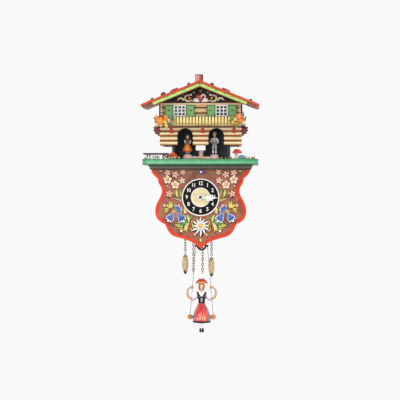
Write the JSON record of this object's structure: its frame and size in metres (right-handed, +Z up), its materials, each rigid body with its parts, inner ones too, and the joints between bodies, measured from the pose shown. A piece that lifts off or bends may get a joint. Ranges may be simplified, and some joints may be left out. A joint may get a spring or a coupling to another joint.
{
  "type": "cuckoo clock",
  "caption": "Wall-hung chalet clock with painted shield and dial, weather-house figures, fir-cone weights on chains and a doll on a swing.",
  "frame": {"origin": "centre of the hanging hole, on the wall plane at the back of the house", "axes": "+Z up, +Y into the wall, so -Y is the front; +X to the viewer's right"},
  "size_m": [0.13, 0.08, 0.2874],
  "materials": {
    "green_board": "satin green paint",
    "moulding": "dark satin paint",
    "case_wood": "brown stain",
    "shield_paint": "painted, orange-red rim",
    "stage_dark": "matte black paint",
    "logs": "clear varnish",
    "window": "white with dark panes",
    "shutter": "satin green paint",
    "gable_paint": "matte black paint",
    "back_wood": "raw",
    "balcony": "varnished",
    "pickets": "cream paint over ochre",
    "blooms": "painted flowers",
    "roof_red": "red paint",
    "fascia": "brown stain",
    "bargeboard": "lime paint",
    "stones": "matte",
    "fence": "dark stain",
    "garden": "painted garden pieces",
    "sign": "white paint",
    "arm_wood": "raw",
    "gut": "twisted gut",
    "brass": "polished",
    "woman": "hand painted",
    "man": "hand painted",
    "dial": "black ring, cream centre and white numerals",
    "hands": "ivory",
    "movement": "fine grain",
    "battery": "plain sleeve",
    "board": "solder mask",
    "nylon": "nylon",
    "cones": "antiqued casting",
    "steel": "satin",
    "copper": "enamelled wire",
    "rocker": "black",
    "wire": "white lacquer",
    "seat": "turned, varnished",
    "skirt": "hand painted",
    "bodice": "hand painted",
    "doll_skin": "satin",
    "doll_black": "satin"
  },
  "bodies": {
    "house": {"base_board": "green_board", "base_moulding": "moulding", "case_boards": "case_wood", "shield": "shield_paint", "stage_box": "stage_dark", "log_front": "logs", "log_side_walls": "logs", "upper_front": "logs", "windows": "window", "shutters": "shutter", "gable_panel": "gable_paint", "house_back": "back_wood", "balcony_floor": "balcony", "balcony_rail": "pickets", "balcony_flowers": "blooms", "roof_left": "roof_red", "roof_right": "roof_red", "fascias": "fascia", "bargeboards": "bargeboard", "chimney": "roof_red", "roof_stones": "stones", "fence": "fence", "garden_plants": "garden", "door_sign": "sign", "arm_pivots": "brass", "dial_plate": "dial", "movement_case": "movement", "movement_cover": "movement", "circuit_board": "board", "bush_nut": "brass", "screw_eyes": "brass", "swing_bracket": "steel", "drive_coil": "copper"},
    "weather_arm": {"weather_arm": "arm_wood", "gut_cord": "gut", "woman_figure": "woman", "man_figure": "man"},
    "hour_hand": {"hour_wheel": "brass", "hour_hand": "hands"},
    "minute_hand": {"centre_wheel": "brass", "minute_hand": "hands", "hand_nut": "brass"},
    "idler": {"idler_wheel": "nylon"},
    "third": {"third_wheel": "nylon"},
    "battery": {"battery": "battery"},
    "left_weight": {"weight_chain_left": "brass", "weight_left": "cones"},
    "right_weight": {"weight_chain_right": "brass", "weight_right": "cones"},
    "left_free_chain": {"free_chain_left": "brass"},
    "right_free_chain": {"free_chain_right": "brass"},
    "swing": {"swing_rocker": "rocker", "swing_magnets": "steel", "swing_wires": "wire", "swing_seat": "seat", "doll_skirt": "skirt", "doll_body": "bodice", "doll_head": "doll_skin", "doll_arms": "doll_skin", "doll_legs": "doll_black"}
  },
  "joints": [
    {"name": "minute_turn", "type": "hinge", "parent": "house", "child": "minute_hand", "pos_m": [0, -0.06, -0.0795], "axis": [0, 1, 0], "continuous": true},
    {"name": "hour_turn", "type": "hinge", "parent": "house", "child": "hour_hand", "pos_m": [0, -0.06, -0.0795], "axis": [0, 1, 0], "continuous": true},
    {"name": "set_knob_turn", "type": "hinge", "parent": "house", "child": "idler", "pos_m": [-0.00831, -0.045, -0.0747], "axis": [0, 1, 0], "continuous": true},
    {"name": "third_wheel_turn", "type": "hinge", "parent": "house", "child": "third", "pos_m": [0.00686, -0.045, -0.07374], "axis": [0, 1, 0], "continuous": true},
    {"name": "weather_arm_turn", "type": "hinge", "parent": "house", "child": "weather_arm", "pos_m": [0, -0.041, -0.03], "axis": [0, 0, 1], "range_deg": [-20, 20]},
    {"name": "swing_turn", "type": "hinge", "parent": "house", "child": "swing", "pos_m": [0, -0.025, -0.117], "axis": [1, 0, 0], "range_deg": [-7.5, 7.5]},
    {"name": "battery_slide", "type": "slide", "parent": "house", "child": "battery", "axis": [0, 1, 0], "range_m": [0, 0.045]},
    {"name": "left_weight_sway", "type": "hinge", "parent": "house", "child": "left_weight", "pos_m": [-0.0176, -0.041, -0.1162], "axis": [1, 0, 0], "range_deg": [-6, 6]},
    {"name": "left_free_chain_sway", "type": "hinge", "parent": "house", "child": "left_free_chain", "pos_m": [-0.0085, -0.041, -0.1162], "axis": [1, 0, 0], "range_deg": [-6, 6]},
    {"name": "right_free_chain_sway", "type": "hinge", "parent": "house", "child": "right_free_chain", "pos_m": [0.0017, -0.041, -0.1162], "axis": [1, 0, 0], "range_deg": [-6, 6]},
    {"name": "right_weight_sway", "type": "hinge", "parent": "house", "child": "right_weight", "pos_m": [0.0116, -0.041, -0.1162], "axis": [1, 0, 0], "range_deg": [-6, 6]}
  ],
  "couplings": [
    {"joint": "hour_turn", "follows": "minute_turn", "ratio": 0.083333},
    {"joint": "set_knob_turn", "follows": "minute_turn", "ratio": -0.33333},
    {"joint": "third_wheel_turn", "follows": "minute_turn", "ratio": -6}
  ]
}
